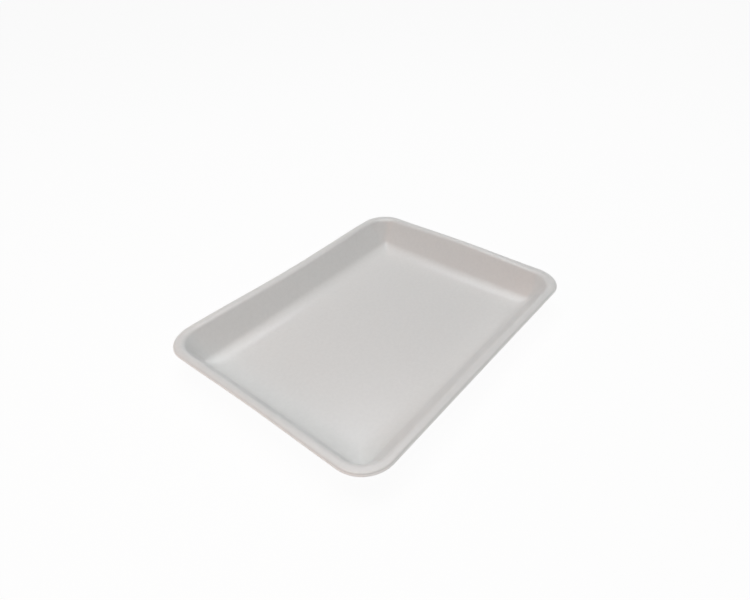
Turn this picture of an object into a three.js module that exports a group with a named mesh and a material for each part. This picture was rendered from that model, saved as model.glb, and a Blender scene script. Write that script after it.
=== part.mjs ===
// A shallow food tray of expanded polystyrene foam, thermoformed from one sheet.
// Millimetres, +Z up. The origin is on the table, under the middle of the tray, with the long side along X.
//
// One section is drawn from the middle of the floor outwards: the cove at the foot of the wall,
// the sloping wall, the lip that rolls over and down, and the same way back along the underside.
// The section is carried round a rounded rectangle. Along each side it changes a little,
// because the lip of such a tray is narrower between the corners and isn't quite level.
import * as THREE from "three";

// Outline and height, at the corners
const LENGTH = 235;
const WIDTH = 181.5;
const HEIGHT = 25;
const CORNER_RADIUS = 21.4;

// The foam sheet, which the mould pinches thinner towards the lip
const FLOOR_THICKNESS = 2.8;
const WALL_THICKNESS = 2.6;
const LIP_THICKNESS = 1.6;

// Foot of the wall: where the wall would meet the floor if there were no cove,
// how far the cove reaches up the wall and in over the floor, and the floor's corner radius
const LONG_SIDE_FOOT_INSET = 21.8;
const SHORT_SIDE_FOOT_INSET = 19.6;
const COVE_UP_WALL = 6.5;
const COVE_OVER_FLOOR = 13.5;
const FLOOR_CORNER_RADIUS = 4;

// Lip: the shoulder that rises into it from the wall, the flat land on top, at the corners and halfway
// along the sides, its outer roll, how steeply the skirt below hangs, and the drop from the top
const SHOULDER_RADIUS = 4.4;
const LAND_WIDTH_CORNER = 1.6;
const LAND_WIDTH_LONG_SIDE = 2;
const LAND_WIDTH_SHORT_SIDE = 0.3;
const ROLL_RADIUS = 1.9;
const SKIRT_ANGLE = THREE.MathUtils.degToRad(55);
const LIP_DROP = 2.35;

// Between the corners the lip draws in, the long sides dip and the short sides arch
const LONG_SIDE_DRAW_IN = 0.65;
const LONG_SIDE_DIP = 1.3;
const SHORT_SIDE_DRAW_IN = 0.2;
const SHORT_SIDE_ARCH = 1;

// Fineness of the faces
const CORNER_STEPS = 11;
const LONG_SIDE_STEPS = 10;
const SHORT_SIDE_STEPS = 8;
const COVE_STEPS = 8;
const SHOULDER_STEPS = 6;
const ROLL_STEPS = 6;
const EDGE_STEPS = 6;
const UNDER_ROLL_STEPS = 3;

// In the section, x is the inset from the outline and y the height.
// The upper skin at a lean of zero faces straight up; a positive lean faces the tray's middle.
function skinNormal(lean) {
  return new THREE.Vector2(Math.sin(lean), Math.cos(lean));
}

// Points on an arc about a centre, from one lean to another
function arcPoints(centre, radius, fromLean, toLean, steps) {
  const points = [];
  for (let i = 0; i <= steps; i++) {
    const lean = THREE.MathUtils.lerp(fromLean, toLean, i / steps);
    points.push(skinNormal(lean).multiplyScalar(radius).add(centre));
  }
  return points;
}

// The point where a line through a point, along a direction, reaches a height
function reachHeight(point, direction, height) {
  const travel = (height - point.y) / direction.y;
  return point.clone().addScaledVector(direction, travel);
}

// The section at one place on the outline, from the floor's upper face to the base
function traySection({ landWidth, footInset, drawIn, lift }) {
  // The skirt hangs from the roll and ends in the round edge of the sheet, which lies on the outline
  const edgeRadius = LIP_THICKNESS / 2;
  const hang = skinNormal(-SKIRT_ANGLE);
  const skirtDown = new THREE.Vector2(-hang.y, hang.x);
  const skirtLength =
    (LIP_DROP - (ROLL_RADIUS + edgeRadius) * (1 - hang.y) - 2 * edgeRadius * hang.y) /
    -skirtDown.y;
  const overhang =
    -ROLL_RADIUS * hang.x - skirtLength * skirtDown.x + edgeRadius * (1 + hang.x);
  const top = HEIGHT + lift;
  const rollCentre = new THREE.Vector2(drawIn + overhang, top - ROLL_RADIUS);
  const shoulderCentre = new THREE.Vector2(
    rollCentre.x + landWidth,
    top - SHOULDER_RADIUS,
  );

  // The wall runs from its foot to the shoulder and is tangent to it
  const foot = new THREE.Vector2(footInset, FLOOR_THICKNESS);
  const footToShoulder = shoulderCentre.clone().sub(foot);
  const wallLean =
    Math.atan2(footToShoulder.y, -footToShoulder.x) +
    Math.asin(SHOULDER_RADIUS / footToShoulder.length());
  const wallUp = new THREE.Vector2(-Math.cos(wallLean), Math.sin(wallLean));
  const wallNormal = skinNormal(wallLean);

  // Upper skin: cove, shoulder and roll
  const coveInner = new THREE.Vector2(footInset + COVE_OVER_FLOOR, FLOOR_THICKNESS);
  const coveTop = foot.clone().addScaledVector(wallUp, COVE_UP_WALL);
  const cove = new THREE.QuadraticBezierCurve(coveInner, foot, coveTop);
  const shoulder = arcPoints(
    shoulderCentre,
    SHOULDER_RADIUS,
    wallLean,
    0,
    SHOULDER_STEPS,
  );
  const roll = arcPoints(rollCentre, ROLL_RADIUS, 0, -SKIRT_ANGLE, ROLL_STEPS);
  const skirtEnd = roll[ROLL_STEPS].clone().addScaledVector(skirtDown, skirtLength);
  const edge = arcPoints(
    skirtEnd.addScaledVector(hang, -edgeRadius),
    edgeRadius,
    -SKIRT_ANGLE,
    -SKIRT_ANGLE - Math.PI,
    EDGE_STEPS,
  );

  // Underside: the inside of the lip, the back of the wall and the outer curve down to the base
  const underRoll = arcPoints(
    rollCentre,
    ROLL_RADIUS - LIP_THICKNESS,
    -SKIRT_ANGLE,
    0,
    UNDER_ROLL_STEPS,
  );
  const underShoulder = arcPoints(
    shoulderCentre,
    SHOULDER_RADIUS - LIP_THICKNESS,
    0,
    wallLean,
    SHOULDER_STEPS,
  );
  const backTop = underShoulder[SHOULDER_STEPS];
  const backFoot = coveTop.clone().addScaledVector(wallNormal, -WALL_THICKNESS);
  const backDown = backFoot.clone().sub(backTop).normalize();
  const heel = reachHeight(backFoot, backDown, 0);
  const baseEdge = new THREE.Vector2(coveInner.x, 0);
  const outerCurve = new THREE.QuadraticBezierCurve(backFoot, heel, baseEdge);

  return [
    ...cove.getPoints(COVE_STEPS),
    ...shoulder,
    ...roll,
    ...edge,
    ...underRoll,
    ...underShoulder,
    ...outerCurve.getPoints(COVE_STEPS),
  ];
}

// The places round the outline. Each has the corner or side that it is on, as shares of the straight
// half-lengths, the direction that it faces, and how far it is into the waist of its side, from 0 to 1.
function outlineStations() {
  const stations = [];
  for (let quarter = 0; quarter < 4; quarter++) {
    const facing = (quarter * Math.PI) / 2;
    const acrossX = Math.round(Math.cos(facing));
    const acrossY = Math.round(Math.sin(facing));
    const isLongSide = acrossX === 0;
    const sideSteps = isLongSide ? LONG_SIDE_STEPS : SHORT_SIDE_STEPS;
    for (let i = 0; i < sideSteps; i++) {
      const along = THREE.MathUtils.lerp(-1, 1, i / sideSteps);
      stations.push({
        shareX: acrossX - acrossY * along,
        shareY: acrossY + acrossX * along,
        facing,
        isLongSide,
        waist: (1 + Math.cos(Math.PI * along)) / 2,
      });
    }
    for (let i = 0; i < CORNER_STEPS; i++) {
      stations.push({
        shareX: acrossX - acrossY,
        shareY: acrossY + acrossX,
        facing: facing + ((i / CORNER_STEPS) * Math.PI) / 2,
        isLongSide,
        waist: 0,
      });
    }
  }
  return stations;
}

// How far in the foot of the wall is. It goes over from one side's inset to the other's round a corner.
function footInsetAt(facing) {
  const longSideShare = Math.sin(facing) ** 2;
  return THREE.MathUtils.lerp(
    SHORT_SIDE_FOOT_INSET,
    LONG_SIDE_FOOT_INSET,
    longSideShare,
  );
}

// The section that belongs to a station
function sectionAt({ facing, isLongSide, waist }) {
  const landWidth = isLongSide ? LAND_WIDTH_LONG_SIDE : LAND_WIDTH_SHORT_SIDE;
  const drawIn = isLongSide ? LONG_SIDE_DRAW_IN : SHORT_SIDE_DRAW_IN;
  const lift = isLongSide ? -LONG_SIDE_DIP : SHORT_SIDE_ARCH;
  return traySection({
    landWidth: THREE.MathUtils.lerp(LAND_WIDTH_CORNER, landWidth, waist),
    footInset: footInsetAt(facing),
    drawIn: drawIn * waist,
    lift: lift * waist,
  });
}

// A section point in space, on a rounded rectangle at its inset. The corners start with the outline's
// radius and tighten smoothly on the way in, until at the foot of the wall they have the floor's.
function placeOnOutline({ shareX, shareY, facing }, { x: inset, y: height }) {
  const way = THREE.MathUtils.smoothstep(inset, 0, footInsetAt(facing));
  const radius = THREE.MathUtils.lerp(CORNER_RADIUS, FLOOR_CORNER_RADIUS, way);
  const reachX = LENGTH / 2 - inset - radius;
  const reachY = WIDTH / 2 - inset - radius;
  return new THREE.Vector3(
    shareX * reachX + radius * Math.cos(facing),
    shareY * reachY + radius * Math.sin(facing),
    height,
  );
}

// The closed skin: rings of the section round the outline, and a fan on the floor and on the base
function trayGeometry() {
  const rings = outlineStations().map((station) =>
    sectionAt(station).map((point) => placeOnOutline(station, point)),
  );
  const ringCount = rings.length;
  const pointCount = rings[0].length;
  const floorCentre = ringCount * pointCount;
  const baseCentre = floorCentre + 1;
  const points = [
    ...rings.flat(),
    new THREE.Vector3(0, 0, FLOOR_THICKNESS),
    new THREE.Vector3(0, 0, 0),
  ];

  const faces = [];
  for (let ring = 0; ring < ringCount; ring++) {
    const here = ring * pointCount;
    const next = ((ring + 1) % ringCount) * pointCount;
    for (let k = 0; k < pointCount - 1; k++) {
      faces.push(here + k, here + k + 1, next + k + 1);
      faces.push(here + k, next + k + 1, next + k);
    }
    faces.push(floorCentre, here, next);
    faces.push(baseCentre, next + pointCount - 1, here + pointCount - 1);
  }

  const geometry = new THREE.BufferGeometry().setFromPoints(points);
  geometry.setIndex(faces);
  geometry.computeVertexNormals();
  return geometry;
}

function foamMaterial() {
  return new THREE.MeshStandardMaterial({
    color: 0xeeedea,
    roughness: 0.42,
    metalness: 0,
  });
}

const tray = new THREE.Mesh(trayGeometry(), foamMaterial());
tray.name = "foam_tray";

const model = new THREE.Group();
model.add(tray);

export default model;
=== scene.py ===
import math

import bpy
import numpy as np
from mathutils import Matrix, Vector


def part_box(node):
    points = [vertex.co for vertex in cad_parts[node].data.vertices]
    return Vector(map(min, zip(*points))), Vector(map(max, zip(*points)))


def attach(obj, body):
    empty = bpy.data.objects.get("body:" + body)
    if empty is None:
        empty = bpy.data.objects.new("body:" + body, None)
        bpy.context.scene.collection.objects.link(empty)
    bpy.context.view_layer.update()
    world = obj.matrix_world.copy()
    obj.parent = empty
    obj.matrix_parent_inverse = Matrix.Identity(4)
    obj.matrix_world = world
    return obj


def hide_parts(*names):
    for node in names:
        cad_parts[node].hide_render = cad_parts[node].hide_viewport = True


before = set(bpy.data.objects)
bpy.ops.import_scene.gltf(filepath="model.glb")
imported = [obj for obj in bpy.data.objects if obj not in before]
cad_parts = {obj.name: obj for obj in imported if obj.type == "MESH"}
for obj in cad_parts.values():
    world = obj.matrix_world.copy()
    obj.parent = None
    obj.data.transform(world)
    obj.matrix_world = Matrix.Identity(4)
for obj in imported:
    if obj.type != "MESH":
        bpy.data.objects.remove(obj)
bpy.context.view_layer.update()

# A shallow food tray of white polystyrene foam, thermoformed from one sheet. Metres, +Z up, origin
# on the table under the tray's middle, long side along X. The tray is one piece: its skin is a
# section, drawn from the floor out to the lip and back underneath, carried round a rounded rectangle.

MM = 0.001

# Outline and height, from the frame. The height is the corners': the short sides arch above it.
TRAY_LOW, TRAY_HIGH = (Vector(corner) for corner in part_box("foam_tray"))
LENGTH = TRAY_HIGH.x - TRAY_LOW.x
WIDTH = TRAY_HIGH.y - TRAY_LOW.y
SHORT_SIDE_ARCH = 1 * MM
HEIGHT = TRAY_HIGH.z - TRAY_LOW.z - SHORT_SIDE_ARCH
CORNER_RADIUS = 21.4 * MM

# The foam sheet, which the mould pinches thinner towards the lip
FLOOR_THICKNESS = 2.8 * MM
WALL_THICKNESS = 2.6 * MM
LIP_THICKNESS = 1.6 * MM

# Foot of the wall: where the wall would meet the floor without a cove, how far the cove reaches up
# the wall and in over the floor, and the floor's corners
LONG_SIDE_FOOT_INSET = 21.8 * MM
SHORT_SIDE_FOOT_INSET = 19.6 * MM
COVE_UP_WALL = 6.5 * MM
COVE_OVER_FLOOR = 13.5 * MM
FLOOR_CORNER_RADIUS = 4 * MM

# Lip: the shoulder's radius, the flat land on top, the outer roll, how steeply the skirt hangs from
# it, and the drop from the top to the lip's lowest point
SHOULDER_RADIUS = 4.4 * MM
LAND_WIDTH_CORNER = 1.6 * MM
LAND_WIDTH_LONG_SIDE = 2 * MM
LAND_WIDTH_SHORT_SIDE = 0.3 * MM
ROLL_RADIUS = 1.9 * MM
SKIRT_ANGLE = math.radians(55)
LIP_DROP = 2.35 * MM

# Between the corners the lip draws in, and the long sides dip
LONG_SIDE_DRAW_IN = 0.65 * MM
LONG_SIDE_DIP = 1.3 * MM
SHORT_SIDE_DRAW_IN = 0.2 * MM

# Unevenness of the floor's upper skin: how deep its waves are, how long each set of them is, how
# far a set is turned from the one before, about the golden angle, and how much longer it is across
FLOOR_WAVE_DEPTH = 0.07 * MM
FLOOR_WAVE_LENGTHS = (31 * MM, 23 * MM, 14 * MM, 11 * MM)
FLOOR_WAVE_TURN = 2.4
FLOOR_WAVE_CROSS_STRETCH = 1.3

# Fineness of the mesh: steps round each corner and side, and along each stretch of the section
CORNER_STEPS = 30
LONG_SIDE_STEPS = 84
SHORT_SIDE_STEPS = 62
FLOOR_STEPS = 30
COVE_STEPS = 26
WALL_STEPS = 12
SHOULDER_STEPS = 16
ROLL_STEPS = 12
SKIRT_STEPS = 4
EDGE_STEPS = 12
BASE_STEPS = 10

# The foam's colours, as they look in soft light: its moulded skin, the same where the mottling is
# darker, and a whiter colour on the lip's outer skirt and edge, which is painted light that lifts
# faces there turned down and outwards, away from the lamps
FOAM_SKIN = "#dcdcdb"
FOAM_MOTTLED = "#d9d9d8"
# Painted light: whiter than the skin, to lift the lip's outer skirt and edge, which face away from
# the lamps
FOAM_EDGE_PAINTED_LIGHT = "#f4f3f1"

# The foam's finish: satin where it touched the mould, dull where it was cut
SKIN_ROUGHNESS = 0.3
CUT_EDGE_ROUGHNESS = 0.7
POLYSTYRENE_IOR = 1.5

# The foam's texture, drawn as coarse as it has to be to show: the size of its cells, how high they
# stand and how strongly they show, and the size of its mottling, how finely its clouds divide, and
# the two cloud levels that it lies between
FOAM_CELL = 0.7 * MM
FOAM_CELL_RELIEF = 0.05 * MM
FOAM_CELL_STRENGTH = 0.25
FOAM_MOTTLE = 2.5 * MM
MOTTLE_DETAIL = 3
MOTTLE_LOW = 0.3
MOTTLE_HIGH = 0.7

# Light that goes into the foam and comes out beside: its share, and how far beside, alike in red,
# green and blue
SCATTER_SHARE = 0.25
SCATTER_REACH = 1.5 * MM
SCATTER_COLOURS = (1.0, 1.0, 1.0)

# Camera: where it stands, how it is turned, its lens and sensor in millimetres, and how near it
# still sees
CAMERA_PLACE = (-0.2381, -0.2015, 0.2628)
CAMERA_TURN = (math.radians(53.54), math.radians(1.37), math.radians(-50.67))
CAMERA_LENS = 26.403
CAMERA_SENSOR = 36
CAMERA_NEAREST = 0.01

# Studio: the white of its air and board, how strongly the air lights matt surfaces, and the board's
# paint, size, drop below the tray, and share that shines by itself and so hides most of the shadow
STUDIO_WHITE = "#ffffff"
AIR_STRENGTH = 0.05
BOARD_PAINT = "#f4f4f4"
BOARD_SIZE = 12
BOARD_DROP = 0.05 * MM
BOARD_SHINE = 0.95

# Where a node that mixes two colours takes them and gives the result
MIX_FIRST = 6
MIX_SECOND = 7
MIX_RESULT = 2


def srgb(hex_colour):
    """A hex colour as it looks on screen, turned into linear red, green, blue and alpha: a value up
    to 0.04045 is divided by 12.92, and above it is ((value + 0.055) / 1.055) to the power 2.4."""
    values = np.array([int(hex_colour[i : i + 2], 16) / 255 for i in (1, 3, 5)])
    linear = np.where(values <= 0.04045, values / 12.92, ((values + 0.055) / 1.055) ** 2.4)
    return (*linear.tolist(), 1.0)


def outline_stations():
    """Stations round the outline, as arrays: the corner or side each is on, as shares of the
    straight half-lengths from -1 to 1, the angle it faces, whether its side is long, and how far it
    is into the waist of its side: half of one plus the cosine of its way along the side, 0 at both
    ends."""
    parts = []
    for quarter in range(4):
        facing = quarter * math.pi / 2
        across_x = round(math.cos(facing))
        across_y = round(math.sin(facing))
        is_long = across_x == 0
        side_steps = LONG_SIDE_STEPS if is_long else SHORT_SIDE_STEPS
        along = np.linspace(-1, 1, side_steps, endpoint=False)
        turn = np.linspace(0, math.pi / 2, CORNER_STEPS, endpoint=False)
        at_corner = np.ones(CORNER_STEPS)
        share_x = across_x - across_y * np.concatenate([along, at_corner])
        share_y = across_y + across_x * np.concatenate([along, at_corner])
        angle = np.concatenate([np.full(side_steps, facing), facing + turn])
        waist = np.concatenate([(1 + np.cos(math.pi * along)) / 2, 0 * at_corner])
        parts.append(np.stack([share_x, share_y, angle, np.full(angle.size, is_long), waist]))
    return np.concatenate(parts, axis=1)


def normal_at(lean):
    """The skin's normal in the section, inset first and height second: the sine and the cosine of
    its lean from straight up."""
    return np.stack([np.sin(lean), np.cos(lean)], axis=-1)


def straight(start, end, steps):
    """Points from start towards end in even steps, the end left out, for every station at once."""
    share = np.arange(steps)[None, :, None] / steps
    return start[:, None] * (1 - share) + end[:, None] * share


def bent(start, middle, end, steps):
    """A quadratic curve: (1-t) squared times start, 2t(1-t) times middle, t squared times end."""
    t = np.arange(steps)[None, :, None] / steps
    return start[:, None] * (1 - t) ** 2 + middle[:, None] * 2 * t * (1 - t) + end[:, None] * t**2


def arc(centre, radius, from_lean, to_lean, steps):
    """An arc: the centre plus the radius times the normal, while the lean runs evenly from one lean
    to the other."""
    t = np.arange(steps)[None, :] / steps
    lean = from_lean[:, None] * (1 - t) + to_lean[:, None] * t
    return centre[:, None] + radius[:, None, None] * normal_at(lean)


def foot_inset_at(facing):
    """How far in the wall's foot is: the short sides' inset goes over to the long sides' with the
    square of the sine of the direction."""
    difference = LONG_SIDE_FOOT_INSET - SHORT_SIDE_FOOT_INSET
    return SHORT_SIDE_FOOT_INSET + difference * np.sin(facing) ** 2


def tray_section(facing, is_long, waist):
    """The section at every station, as insets and heights, from the cove's inner edge over the lip
    to the base's edge, and for each of its points a share: 1 on the lip's outer skirt, its edge and
    the return underneath, which get a whiter colour as painted light and a dull finish, and 0
    elsewhere. The wall is the straight line from its foot that touches the shoulder of the lip."""
    same = np.ones_like(waist)
    level = np.zeros_like(waist)
    side_draw_in = np.where(is_long, LONG_SIDE_DRAW_IN, SHORT_SIDE_DRAW_IN)
    side_lift = np.where(is_long, -LONG_SIDE_DIP, SHORT_SIDE_ARCH)
    side_land = np.where(is_long, LAND_WIDTH_LONG_SIDE, LAND_WIDTH_SHORT_SIDE)
    land = LAND_WIDTH_CORNER + (side_land - LAND_WIDTH_CORNER) * waist

    edge_radius = LIP_THICKNESS / 2
    hang = normal_at(-SKIRT_ANGLE)
    skirt = np.array([-hang[1], hang[0]])
    round_drop = (ROLL_RADIUS + edge_radius) * (1 - hang[1]) + 2 * edge_radius * hang[1]
    skirt_length = (LIP_DROP - round_drop) / -skirt[1]
    overhang = -ROLL_RADIUS * hang[0] - skirt_length * skirt[0] + edge_radius * (1 + hang[0])
    top = np.stack([side_draw_in * waist + overhang, HEIGHT + side_lift * waist], axis=-1)
    roll_centre = top - [0, ROLL_RADIUS]
    shoulder_top = top + land[:, None] * [1, 0]
    shoulder_centre = shoulder_top - [0, SHOULDER_RADIUS]

    foot = np.stack([foot_inset_at(facing), FLOOR_THICKNESS * same], axis=-1)
    to_shoulder = shoulder_centre - foot
    slope = np.arctan2(to_shoulder[:, 1], -to_shoulder[:, 0])
    wall_lean = slope + np.arcsin(SHOULDER_RADIUS / np.hypot(*to_shoulder.T))
    wall_up = np.stack([-np.cos(wall_lean), np.sin(wall_lean)], axis=-1)
    wall_normal = normal_at(wall_lean)
    hang_lean = -SKIRT_ANGLE * same

    cove_inner = foot + [COVE_OVER_FLOOR, 0]
    cove_top = foot + COVE_UP_WALL * wall_up
    shoulder = SHOULDER_RADIUS * same
    wall_top = shoulder_centre + SHOULDER_RADIUS * wall_normal
    roll = ROLL_RADIUS * same
    roll_end = roll_centre + ROLL_RADIUS * hang
    skirt_end = roll_end + skirt_length * skirt
    edge = edge_radius * same
    edge_centre = skirt_end - edge_radius * hang
    edge_end = skirt_end - LIP_THICKNESS * hang
    under_roll = roll - LIP_THICKNESS
    under_start = roll_centre + (ROLL_RADIUS - LIP_THICKNESS) * hang
    under_top = top - [0, LIP_THICKNESS]
    under_shoulder = shoulder - LIP_THICKNESS
    under_shoulder_top = shoulder_top - [0, LIP_THICKNESS]
    back_top = shoulder_centre + (SHOULDER_RADIUS - LIP_THICKNESS) * wall_normal
    back_foot = cove_top - WALL_THICKNESS * wall_normal
    back_down = back_foot - back_top
    heel = back_foot - back_down * (back_foot[:, 1:] / back_down[:, 1:])
    base_edge = cove_inner * [1, 0]

    # 1 marks the lip's outer skirt, edge and return: there the colour is painted light, whiter to
    # lift faces turned away from the lamps, and the finish is dull
    moulded, dull_painted_light = 0.0, 1.0
    stretches = [
        (moulded, bent(cove_inner, foot, cove_top, COVE_STEPS)),
        (moulded, straight(cove_top, wall_top, WALL_STEPS)),
        (moulded, arc(shoulder_centre, shoulder, wall_lean, level, SHOULDER_STEPS)),
        (moulded, straight(shoulder_top, top, SKIRT_STEPS)),
        (moulded, arc(roll_centre, roll, level, hang_lean, ROLL_STEPS)),
        (dull_painted_light, straight(roll_end, skirt_end, SKIRT_STEPS)),
        (dull_painted_light, arc(edge_centre, edge, hang_lean, hang_lean - math.pi, EDGE_STEPS)),
        (dull_painted_light, straight(edge_end, under_start, SKIRT_STEPS)),
        (moulded, arc(roll_centre, under_roll, hang_lean, level, SKIRT_STEPS)),
        (moulded, straight(under_top, under_shoulder_top, SKIRT_STEPS)),
        (moulded, arc(shoulder_centre, under_shoulder, level, wall_lean, EDGE_STEPS)),
        (moulded, straight(back_top, back_foot, WALL_STEPS)),
        (moulded, bent(back_foot, heel, base_edge, COVE_STEPS)),
        (moulded, base_edge[:, None]),
    ]
    dull_painted_light_share = np.concatenate([np.full(points.shape[1], share) for share, points in stretches])
    return np.concatenate([points for share, points in stretches], axis=1), dull_painted_light_share


def floor_waves(x, y):
    """The floor's unevenness: a sum of crossed waves, one set for each wavelength, each turned on
    from the one before. A set is the sine along its direction times the cosine across it, and has
    an even share of the depth."""
    height = np.zeros_like(x)
    for i, wavelength in enumerate(FLOOR_WAVE_LENGTHS):
        turn = i * FLOOR_WAVE_TURN
        u = x * math.cos(turn) + y * math.sin(turn)
        v = y * math.cos(turn) - x * math.sin(turn)
        crosswise = FLOOR_WAVE_CROSS_STRETCH * wavelength
        wave = np.sin(2 * math.pi * u / wavelength + i) * np.cos(2 * math.pi * v / crosswise - i)
        height += wave * FLOOR_WAVE_DEPTH / len(FLOOR_WAVE_LENGTHS)
    return height


def tray_skin_points():
    """The skin's points, a row for each station from the floor's middle over the lip to the base's
    middle, without the two middles, and each column's share of the lip's outer skirt and edge, where
    painted light makes the colour whiter and the finish is dull. A section point lies on a
    rounded rectangle: the straight reach times the station's share, plus the corner's radius in the
    station's direction. The radius goes over from the outline's to the floor's as t squared times
    (3 - 2t), with t the inset's share of the wall foot's. The floor and the base are the first and
    the last of these rings, drawn in evenly, and the floor's waves fade out with one less the
    square of the way to its edge."""
    share_x, share_y, facing, is_long, waist = outline_stations()
    section, dull_painted_light_share = tray_section(facing, is_long > 0, waist)
    inset, height = section[..., 0], section[..., 1]
    way = np.clip(inset / foot_inset_at(facing)[:, None], 0, 1)
    corner = CORNER_RADIUS + (FLOOR_CORNER_RADIUS - CORNER_RADIUS) * way**2 * (3 - 2 * way)
    x = share_x[:, None] * (LENGTH / 2 - inset - corner) + corner * np.cos(facing)[:, None]
    y = share_y[:, None] * (WIDTH / 2 - inset - corner) + corner * np.sin(facing)[:, None]

    outwards = np.linspace(0, 1, FLOOR_STEPS, endpoint=False)[1:]
    inwards = np.linspace(1, 0, BASE_STEPS, endpoint=False)[1:]
    floor_x, floor_y = x[:, :1] * outwards, y[:, :1] * outwards
    floor_z = FLOOR_THICKNESS + floor_waves(floor_x, floor_y) * (1 - outwards**2)
    base_x, base_y = x[:, -1:] * inwards, y[:, -1:] * inwards
    x = np.concatenate([floor_x, x, base_x], axis=1)
    y = np.concatenate([floor_y, y, base_y], axis=1)
    z = np.concatenate([floor_z, height, np.zeros_like(base_x)], axis=1)
    dull_painted_light_share = np.concatenate([0 * outwards, dull_painted_light_share, 0 * inwards])
    return np.stack([x, y, z], axis=-1), dull_painted_light_share


def new_object(name, data):
    """An object made of the data, put into the scene at the origin."""
    item = bpy.data.objects.new(name, data)
    bpy.context.scene.collection.objects.link(item)
    return item


def make_tray():
    """The tray's closed skin: quads between the stations' rows of points, and a fan of triangles
    round the middle of the floor and of the base."""
    skin, dull_painted_light_share = tray_skin_points()
    stations, columns = skin.shape[:2]
    grid = np.arange(stations * columns).reshape(stations, columns)
    beside = np.roll(grid, -1, axis=0)
    corners = [grid[:, :-1], grid[:, 1:], beside[:, 1:], beside[:, :-1]]
    quads = np.stack(corners, axis=-1).reshape(-1, 4)
    floor_middle = np.full(stations, grid.size)
    base_middle = floor_middle + 1
    floor_fan = np.stack([floor_middle, grid[:, 0], beside[:, 0]], axis=-1)
    base_fan = np.stack([base_middle, beside[:, -1], grid[:, -1]], axis=-1)
    middle_height = FLOOR_THICKNESS + floor_waves(np.zeros(1), np.zeros(1))[0]
    vertices = np.concatenate([skin.reshape(-1, 3), [[0, 0, middle_height], [0, 0, 0]]])
    faces = quads.tolist() + floor_fan.tolist() + base_fan.tolist()

    mesh = bpy.data.meshes.new("tray_skin")
    mesh.from_pydata(vertices.tolist(), [], faces)
    mesh.polygons.foreach_set("use_smooth", np.ones(len(mesh.polygons), dtype=bool))
    # The share of painted light on the lip's outer skirt and edge, which the material also makes dull
    dull_painted_light_edge = mesh.attributes.new("dull_painted_light_edge", "FLOAT", "POINT")
    dull_painted_light_edge.data.foreach_set("value", np.concatenate([np.tile(dull_painted_light_share, stations), [0, 0]]))
    mesh.materials.append(polystyrene_foam())
    mesh.update()

    tray = new_object("tray_skin", mesh)
    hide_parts("foam_tray")
    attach(tray, "root")


def add(tree, kind, inputs=None, **properties):
    """Adds a node with its properties. Each input, by name or number, is linked to a socket or set
    to a value."""
    node = tree.nodes.new(kind)
    for name, value in properties.items():
        setattr(node, name, value)
    for name, value in (inputs or {}).items():
        if isinstance(value, bpy.types.NodeSocket):
            tree.links.new(value, node.inputs[name])
        else:
            node.inputs[name].default_value = value
    return node


def empty_tree(owner):
    """The node tree of a material or a world, emptied."""
    owner.use_nodes = True
    owner.node_tree.nodes.clear()
    return owner.node_tree


def polystyrene_foam():
    """Expanded polystyrene foam, thermoformed: closed cells under a thin moulded skin. To the eye
    it is a satin white with a soft glow under it, faintly mottled, with a fine grain of cells, and
    dull on the lip's outer skirt and edge, where a whiter colour is painted light that lifts faces
    turned away from the lamps."""
    material = bpy.data.materials.new("expanded_polystyrene_foam_skin")
    tree = empty_tree(material)
    place = add(tree, "ShaderNodeTexCoord").outputs["Object"]
    # The share of the lip's outer skirt and edge that is painted whiter as painted light and made
    # dull
    dull_painted_light = add(tree, "ShaderNodeAttribute", attribute_name="dull_painted_light_edge").outputs["Fac"]

    cells = add(tree, "ShaderNodeTexVoronoi", {"Vector": place, "Scale": 1 / FOAM_CELL})
    clouds = add(tree, "ShaderNodeTexNoise", {
        "Vector": place,
        "Scale": 1 / FOAM_MOTTLE,
        "Detail": MOTTLE_DETAIL,
    })
    mottle = add(tree, "ShaderNodeMapRange", {
        "Value": clouds.outputs["Fac"],
        "From Min": MOTTLE_LOW,
        "From Max": MOTTLE_HIGH,
    })
    skin = add(tree, "ShaderNodeMix", {
        "Factor": mottle.outputs["Result"],
        MIX_FIRST: srgb(FOAM_SKIN),
        MIX_SECOND: srgb(FOAM_MOTTLED),
    }, data_type="RGBA")
    # Painted light: the lip's outer skirt and edge get the whiter colour, lifting faces that turn
    # down and away from the lamps
    colour = add(tree, "ShaderNodeMix", {
        "Factor": dull_painted_light,
        MIX_FIRST: skin.outputs[MIX_RESULT],
        MIX_SECOND: srgb(FOAM_EDGE_PAINTED_LIGHT),
    }, data_type="RGBA")
    dullness = add(tree, "ShaderNodeMapRange", {
        "Value": dull_painted_light,
        "To Min": SKIN_ROUGHNESS,
        "To Max": CUT_EDGE_ROUGHNESS,
    })
    relief = add(tree, "ShaderNodeBump", {
        "Height": cells.outputs["Distance"],
        "Strength": FOAM_CELL_STRENGTH,
        "Distance": FOAM_CELL_RELIEF,
    })
    shader = add(tree, "ShaderNodeBsdfPrincipled", {
        "Base Color": colour.outputs[MIX_RESULT],
        "Roughness": dullness.outputs["Result"],
        "Normal": relief.outputs["Normal"],
        "IOR": POLYSTYRENE_IOR,
        "Subsurface Weight": SCATTER_SHARE,
        "Subsurface Radius": SCATTER_COLOURS,
        "Subsurface Scale": SCATTER_REACH,
    })
    add(tree, "ShaderNodeOutputMaterial", {"Surface": shader.outputs["BSDF"]})
    return material


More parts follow.
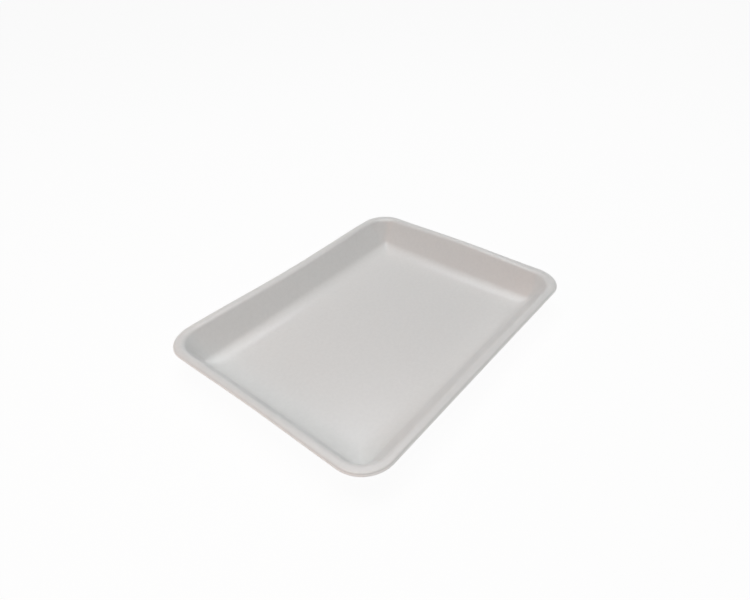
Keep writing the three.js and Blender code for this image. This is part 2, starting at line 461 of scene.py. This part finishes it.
def studio_board():
    """The floor, a plain matt white board. It shines nearly as brightly as the air behind it, and
    the rest is lit by the lamps, so it keeps a faint shadow. It lies a hair below the tray."""
    material = bpy.data.materials.new("matt_white_board")
    tree = empty_tree(material)
    paint = add(tree, "ShaderNodeBsdfDiffuse", {"Color": srgb(BOARD_PAINT)})
    shine = add(tree, "ShaderNodeEmission", {"Color": srgb(STUDIO_WHITE), "Strength": 1.0})
    both = add(tree, "ShaderNodeMixShader", {
        0: BOARD_SHINE,
        1: paint.outputs["BSDF"],
        2: shine.outputs["Emission"],
    })
    add(tree, "ShaderNodeOutputMaterial", {"Surface": both.outputs["Shader"]})

    reach = np.array([[-1, -1], [1, -1], [1, 1], [-1, 1]]) * BOARD_SIZE / 2
    corners = np.column_stack([reach, np.full(len(reach), -BOARD_DROP)])
    mesh = bpy.data.meshes.new("studio_floor")
    mesh.from_pydata(corners.tolist(), [], [(0, 1, 2, 3)])
    mesh.materials.append(material)
    new_object("studio_floor", mesh)


def studio_air():
    """Even white air: the camera, reflections and clear materials see it as plain white, and it
    lights matt surfaces only dimly."""
    world = bpy.data.worlds.new("studio_air")
    bpy.context.scene.world = world
    tree = empty_tree(world)
    seen = add(tree, "ShaderNodeLightPath").outputs
    mirrored = add(tree, "ShaderNodeMath", {
        0: seen["Is Glossy Ray"],
        1: seen["Is Transmission Ray"],
    }, operation="MAXIMUM")
    direct = add(tree, "ShaderNodeMath", {
        0: seen["Is Camera Ray"],
        1: mirrored.outputs["Value"],
    }, operation="MAXIMUM")
    strength = add(tree, "ShaderNodeMapRange", {
        "Value": direct.outputs["Value"],
        "To Min": AIR_STRENGTH,
        "To Max": 1.0,
    })
    air = add(tree, "ShaderNodeBackground", {
        "Color": srgb(STUDIO_WHITE),
        "Strength": strength.outputs["Result"],
    })
    add(tree, "ShaderNodeOutputWorld", {"Surface": air.outputs["Background"]})


def soft_light(name, place, size, watts, colour):
    """A square soft box that looks at the tray's middle."""
    lamp = bpy.data.lights.new(name, "AREA")
    lamp.shape = "SQUARE"
    lamp.size = size
    lamp.energy = watts
    lamp.color = srgb(colour)[:3]
    holder = new_object(name, lamp)
    holder.location = place
    holder.rotation_euler = (-Vector(place)).to_track_quat("-Z", "Y").to_euler()


def make_camera():
    """The camera, which looks down into the tray over its near corner."""
    lens = bpy.data.cameras.new("camera")
    lens.lens = CAMERA_LENS
    lens.sensor_width = CAMERA_SENSOR
    lens.clip_start = CAMERA_NEAREST
    camera = new_object("camera", lens)
    camera.location = CAMERA_PLACE
    camera.rotation_euler = CAMERA_TURN
    bpy.context.scene.camera = camera


make_camera()
make_tray()
studio_board()
studio_air()

# A wide box overhead, a small one above and behind the far corner, a small one over the near short
# side, and a warm one beyond that side, which tints the far short wall
soft_light("top_box", place=(0, 0, 1.1), size=0.9, watts=8.6, colour="#f8fafa")
soft_light("back_box", place=(0.4, 0.39, 0.87), size=0.2, watts=0.6, colour="#eef5ff")
soft_light("near_box", place=(-0.22, 0.02, 0.4), size=0.15, watts=0.26, colour="#fff7f2")
soft_light("left_box", place=(-0.75, 0.1, 0.5), size=0.4, watts=0.6, colour="#ff9a5c")
bpy.context.scene.view_settings.view_transform = "Standard"
